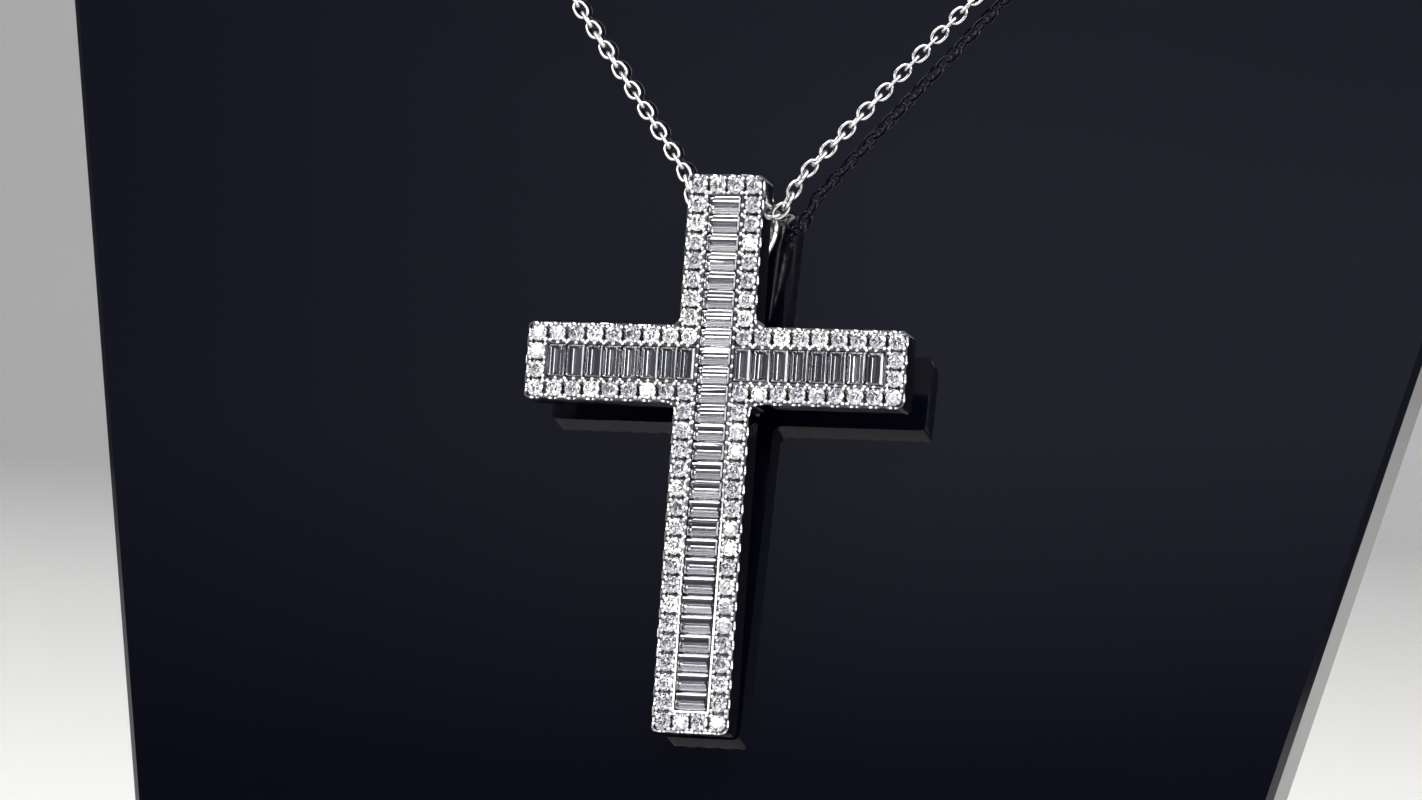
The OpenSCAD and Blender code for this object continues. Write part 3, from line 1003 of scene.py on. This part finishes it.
def chain(k):
    """The whole loop of links, each through the next, along its route into the clasp's eyes."""
    out = board_axes()[1]
    points = [p * BENCH for p in chain_points()]
    eye_x = (k.clasp_d + k.eye_d) / 2 - EYE_LAP
    end_x = eye_x + k.eye_d / 2 - k.eye_wire - k.wire_d / 2
    trim = points[-1].x - end_x + k.wire_d / 2
    total = sum((b - a).length for a, b in zip(points, points[1:])) + 2 * trim
    points = [points[0] + (points[0] - points[1]).normalized() * trim] + points
    count = round(total / k.pitch)
    joints = [along_route(points, total * j / count) for j in range(count + 1)]
    middle = count // 2
    normals = [None] * count
    for order in (range(middle, count), range(middle - 1, -1, -1)):
        way = (joints[middle + 1] - joints[middle]).normalized()
        normal = (out - way * out.dot(way)).normalized()
        for j in order:
            new_way = (joints[j + 1] - joints[j]).normalized()
            normal = way.rotation_difference(new_way) @ normal
            way = new_way
            normals[j] = normal.normalized()
    twist_run = 30
    sway = math.radians(6)
    sway_rate = 0.5
    places = []
    half = total / 2
    for j in range(count):
        way = (joints[j + 1] - joints[j]).normalized()
        beside = abs((j + 0.5) * total / count - half)
        roll = math.radians(90) * (j % 2)
        if j > middle:
            roll += k.twist * max(0.0, 1 - beside / twist_run)
        else:
            roll += sway * math.sin(beside * sway_rate)
        normal = Matrix.Rotation(roll, 3, way) @ normals[j]
        side = normal.cross(way)
        centre = (joints[j] + joints[j + 1]) / 2
        turn = Matrix((way, side, normal)).transposed().to_4x4()
        places.append(Matrix.Translation(centre) @ turn)
    return copies(link(k), places)


def clasp(k):
    """The ring clasp with its collars, its lever and the two eyes, at the chain's lowest place."""
    up, out, foot = board_axes()
    across, rise, reach, drop = CHAIN_ROUTE[-1]
    centre = (foot + Vector((0, 0, -drop)) + up * rise + out * reach) * BENCH
    flat = (math.radians(90), 0, 0)
    wire = k.clasp_wire / 2
    ring_r = k.clasp_d / 2 - wire
    bpy.ops.mesh.primitive_torus_add(
        location=centre, rotation=flat, major_segments=48, minor_segments=12,
        major_radius=ring_r, minor_radius=0.94 * wire,
    )
    parts = [bpy.context.object]
    for side in (-1, 1):
        eye = centre + Vector((side * ((k.clasp_d + k.eye_d) / 2 - EYE_LAP), 0, 0))
        bpy.ops.mesh.primitive_torus_add(
            location=eye, rotation=flat, major_segments=24, minor_segments=8,
            major_radius=(k.eye_d - k.eye_wire) / 2, minor_radius=k.eye_wire / 2,
        )
        parts.append(bpy.context.object)
    collar_w = 0.16
    for degrees in (38, 62, 118):
        turn = math.radians(degrees)
        spot = centre + ring_r * Vector((math.cos(turn), 0, math.sin(turn)))
        bpy.ops.mesh.primitive_cylinder_add(
            vertices=24, radius=wire, depth=collar_w, location=spot, rotation=(0, -turn, 0)
        )
        parts.append(bpy.context.object)
    lever_r = 0.34
    lever = centre + Vector((0, 0, ring_r - 0.9 * wire))
    bpy.ops.mesh.primitive_uv_sphere_add(
        segments=16, ring_count=10, radius=lever_r, location=lever
    )
    parts.append(bpy.context.object)
    take(*parts)
    bpy.ops.object.join()
    return parts[0]


# One operator for each piece

def cross_and_stones(context):
    """The sizes of the cross and of its stones, at the bench's scale."""
    return at_bench(context.scene.pendant_cross), at_bench(context.scene.pendant_stones)


class AddCrossFrame(bpy.types.Operator):
    """Add the cross's metal, its beads and its bail"""

    bl_idname = "pendant.add_cross_frame"
    bl_label = "Add Cross Frame"

    def execute(self, context):
        c, s = cross_and_stones(context)
        deselect()
        plate = cross_frame(c, s)
        finish_piece(plate, "Cross_Frame", "pendant", "white_gold", 30, ["setting"])
        deselect()
        finish_piece(beads(c, s), "Pave_Beads", "pendant", "white_gold", 60)
        deselect()
        finish_piece(bail(c), "Bail", "pendant", "white_gold", 40)
        return {"FINISHED"}


class AddRoundStones(bpy.types.Operator):
    """Add the row of round brilliants along the whole outline"""

    bl_idname = "pendant.add_round_stones"
    bl_label = "Add Round Stones"

    def execute(self, context):
        c, s = cross_and_stones(context)
        deselect()
        chance = random.Random(11)
        # The round stones are greyed on the whole: painted shade that dims them
        spots = [
            (spot, chance.uniform(0, math.pi), chance.uniform(0.97, 1.0), s.round_grey)
            for spot, _, _ in row_places(c, s.round_pitch, 0)
        ]
        made = set_stones(brilliant(s), spots, c, s, s.wobble, 12)
        finish_piece(made, "Round_Stones", "pendant", "diamond", None, ["round_stones"])
        return {"FINISHED"}


class AddBaguettes(bpy.types.Operator):
    """Add the three rows of baguettes"""

    bl_idname = "pendant.add_baguettes"
    bl_label = "Add Baguettes"

    def execute(self, context):
        c, s = cross_and_stones(context)
        deselect()
        spots = []
        for places, upright in baguette_rows(c, s.baguette_room):
            turn = math.radians(90) if upright else 0
            for spot in places:
                # Greyer towards the upright's foot; on the side arms, painted shade that dims the
                # baguettes
                below_clear = 1 - spot.y / c.cross_h - s.upright_clear
                grey = s.upright_grey * below_clear if upright else s.arm_grey
                spots.append((spot, turn, 1.0, grey))
        made = set_stones(step_cut(s), spots, c, s, s.baguette_wobble, 21)
        finish_piece(made, "Baguettes", "pendant", "diamond", None, ["baguette_stones"])
        return {"FINISHED"}


class AddChain(bpy.types.Operator):
    """Add the cable chain, a whole loop of links"""

    bl_idname = "pendant.add_chain"
    bl_label = "Add Chain"

    def execute(self, context):
        k = at_bench(context.scene.pendant_chain)
        deselect()
        finish_piece(chain(k), "Chain_Links", "stand", "white_gold", 89, ["chain"])
        return {"FINISHED"}


class AddClasp(bpy.types.Operator):
    """Add the ring clasp behind the board"""

    bl_idname = "pendant.add_clasp"
    bl_label = "Add Clasp"

    def execute(self, context):
        k = at_bench(context.scene.pendant_chain)
        deselect()
        finish_piece(clasp(k), "Ring_Clasp", "stand", "white_gold", 50, ["clasp"])
        return {"FINISHED"}


class DressStand(bpy.types.Operator):
    """Give the board and its base their black gloss"""

    bl_idname = "pendant.dress_stand"
    bl_label = "Dress Stand"

    def execute(self, context):
        gloss = black_acrylic()
        for name in ("board", "base"):
            node = frame["nodes"][name]
            node.data.materials.clear()
            node.data.materials.append(gloss)
        return {"FINISHED"}


class AddStudio(bpy.types.Operator):
    """Add the camera, the soft lights, the floor and the wall"""

    bl_idname = "pendant.add_studio"
    bl_label = "Add Studio"

    def execute(self, context):
        studio = context.scene.pendant_studio
        add_camera(studio)
        add_floor(studio)
        add_lights()
        set_world(studio)
        context.scene.view_settings.view_transform = "Standard"
        context.scene.view_settings.look = "None"
        return {"FINISHED"}


def add_camera(studio):
    """The camera, aimed and then rolled about its line of sight."""
    at = Vector(studio.camera_at)
    ahead = (Vector(studio.camera_aim) - at).normalized()
    level = ahead.cross(Vector((0, 0, 1))).normalized()
    over = level.cross(ahead)
    right = level * math.cos(studio.camera_roll) + over * math.sin(studio.camera_roll)
    top = over * math.cos(studio.camera_roll) - level * math.sin(studio.camera_roll)
    turn = Matrix((right, top, -ahead)).transposed()
    deselect()
    bpy.ops.object.camera_add(location=at, rotation=turn.to_euler())
    camera = bpy.context.object
    camera.name = "Camera"
    camera.data.lens = studio.lens
    camera.data.sensor_width = 36
    camera.data.clip_start = 0.01
    camera.data.clip_end = 20
    bpy.context.scene.camera = camera


def add_floor(studio):
    """A pale floor that curves up into a wall behind the stand."""
    deselect()
    curve_r = 0.6
    half = studio.floor_w / 2
    bpy.ops.mesh.primitive_plane_add(size=studio.floor_w, location=(0, 0, 0))
    floor = bpy.context.object
    floor.name = "Floor"
    edit(floor, "EDGE")
    pick("edges", lambda e: all(v.co.y > half - NEAR for v in e.verts))
    push(z=half)
    pick("edges", lambda e: all(v.co.y > half - NEAR and abs(v.co.z) < NEAR for v in e.verts))
    bpy.ops.mesh.bevel(offset=curve_r, segments=16, affect="EDGES")
    done()
    bpy.ops.object.shade_smooth()
    floor.data.materials.append(pale_paint(studio.floor_tint))


# Soft boxes: name, degrees to the right of straight in front, degrees up, distance, width and
# height in metres, brightness in watts to the square metre
LIGHTS = [
    ("Key Strip", -12, 47, 0.8, 0.80, 0.28, 20),
    ("Upper Strip", -14, 70, 0.8, 0.60, 0.10, 22),
    ("Front Strip", -16, 9, 0.9, 0.70, 0.05, 14),
    ("Middle Strip", -20, 5.5, 0.9, 0.90, 0.05, 6),
    ("Low Strip", -20, -0.5, 0.9, 0.90, 0.05, 19),
    ("Right Strip", 28, 22, 0.9, 0.08, 0.60, 14),
    ("Far Right Strip", 52, 26, 0.9, 0.12, 0.60, 14),
    ("Side Box", 76, 38, 0.8, 0.70, 0.80, 12),
    ("Left Strip", -46, 14, 0.9, 0.10, 0.50, 18),
    ("Low Left Strip", -72, 30, 0.9, 0.20, 0.50, 14),
    ("Top Box", 180, 76, 1.0, 0.90, 0.60, 6),
]
LIT_SPOT = Vector((0, -0.01, 0.055))

# The dim gap in the tent of light: the way to its middle, and how near to that way, as a
# cosine, its soft edge starts and ends
GAP_WAY = (-0.217, -0.810, 0.545)
GAP_EDGE = (0.945, 0.972)


def add_lights():
    """The soft boxes round the stand, all turned to its middle."""
    for name, right, over, distance, width, height, brightness in LIGHTS:
        deselect()
        turn = Euler((math.radians(90 - over), 0, math.radians(right)))
        at = LIT_SPOT + turn.to_matrix() @ Vector((0, 0, distance))
        bpy.ops.object.light_add(type="AREA", location=at, rotation=turn)
        lamp = bpy.context.object
        lamp.name = name
        lamp.data.shape = "RECTANGLE"
        lamp.data.size = width
        lamp.data.size_y = height
        lamp.data.energy = brightness * width * height


def set_world(studio):
    """A bright tent with a dim round gap in front and above, which is what the board mirrors.

    The gap is dimmer towards its top, its left side and its foot."""
    world = bpy.data.worlds.new("Studio")
    bpy.context.scene.world = world
    t = Tree(world)
    way = t.node("ShaderNodeTexCoord", output="Generated")
    x, y, z = (
        t.node("ShaderNodeSeparateXYZ", {}, {"Vector": way}, axis) for axis in ("X", "Y", "Z")
    )
    near = t.node(
        "ShaderNodeVectorMath", {"operation": "DOT_PRODUCT"}, {0: way, 1: GAP_WAY}, "Value"
    )
    gap = t.spread(near, *GAP_EDGE, 0, 1)
    low = t.spread(z, 0.50, 0.62, 1.0, 0.25)
    beside = t.spread(x, -0.38, -0.22, 0.35, 1.0)
    foot = t.spread(z - 0.18 * x, 0.434, 0.494, 0.15, 1.0)
    dim = 0.43 * low * foot * beside + 0.03
    tent = t.spread(y, -0.4, 0.6, studio.tent, 0.35 * studio.tent)
    back = t.node("ShaderNodeBackground", {}, {
        "Color": t.mix(gap, tuple(studio.glow), tuple(studio.gap_glow)),
        "Strength": tent + gap * (dim - tent),
    })
    t.node("ShaderNodeOutputWorld", {}, {"Surface": back})


class PendantPanel(bpy.types.Panel):
    """Lists the pendant's sizes and the operators that make its pieces."""

    bl_idname = "VIEW3D_PT_cross_pendant"
    bl_label = "Cross Pendant"
    bl_space_type = "VIEW_3D"
    bl_region_type = "UI"
    bl_category = "Pendant"

    def draw(self, context):
        for name, group in GROUPS.items():
            box = self.layout.box()
            box.label(text=group.bl_rna.name)
            for prop in group.__annotations__:
                box.prop(getattr(context.scene, name), prop)
        for operator in OPERATORS:
            self.layout.operator(operator.bl_idname)


OPERATORS = [
    AddStudio, AddCrossFrame, AddRoundStones, AddBaguettes, AddChain, AddClasp, DressStand,
]


def register():
    for group in GROUPS.values():
        bpy.utils.register_class(group)
    for name, group in GROUPS.items():
        setattr(bpy.types.Scene, name, bpy.props.PointerProperty(type=group))
    for operator in OPERATORS:
        bpy.utils.register_class(operator)
    bpy.utils.register_class(PendantPanel)


def unregister():
    bpy.utils.unregister_class(PendantPanel)
    for operator in reversed(OPERATORS):
        bpy.utils.unregister_class(operator)
    for name in GROUPS:
        delattr(bpy.types.Scene, name)
    for group in reversed(list(GROUPS.values())):
        bpy.utils.unregister_class(group)


def main():
    register()
    bpy.ops.pendant.add_studio()
    bpy.ops.pendant.add_cross_frame()
    bpy.ops.pendant.add_round_stones()
    bpy.ops.pendant.add_baguettes()
    bpy.ops.pendant.add_chain()
    bpy.ops.pendant.add_clasp()
    bpy.ops.pendant.dress_stand()


if __name__ == "__main__":
    main()
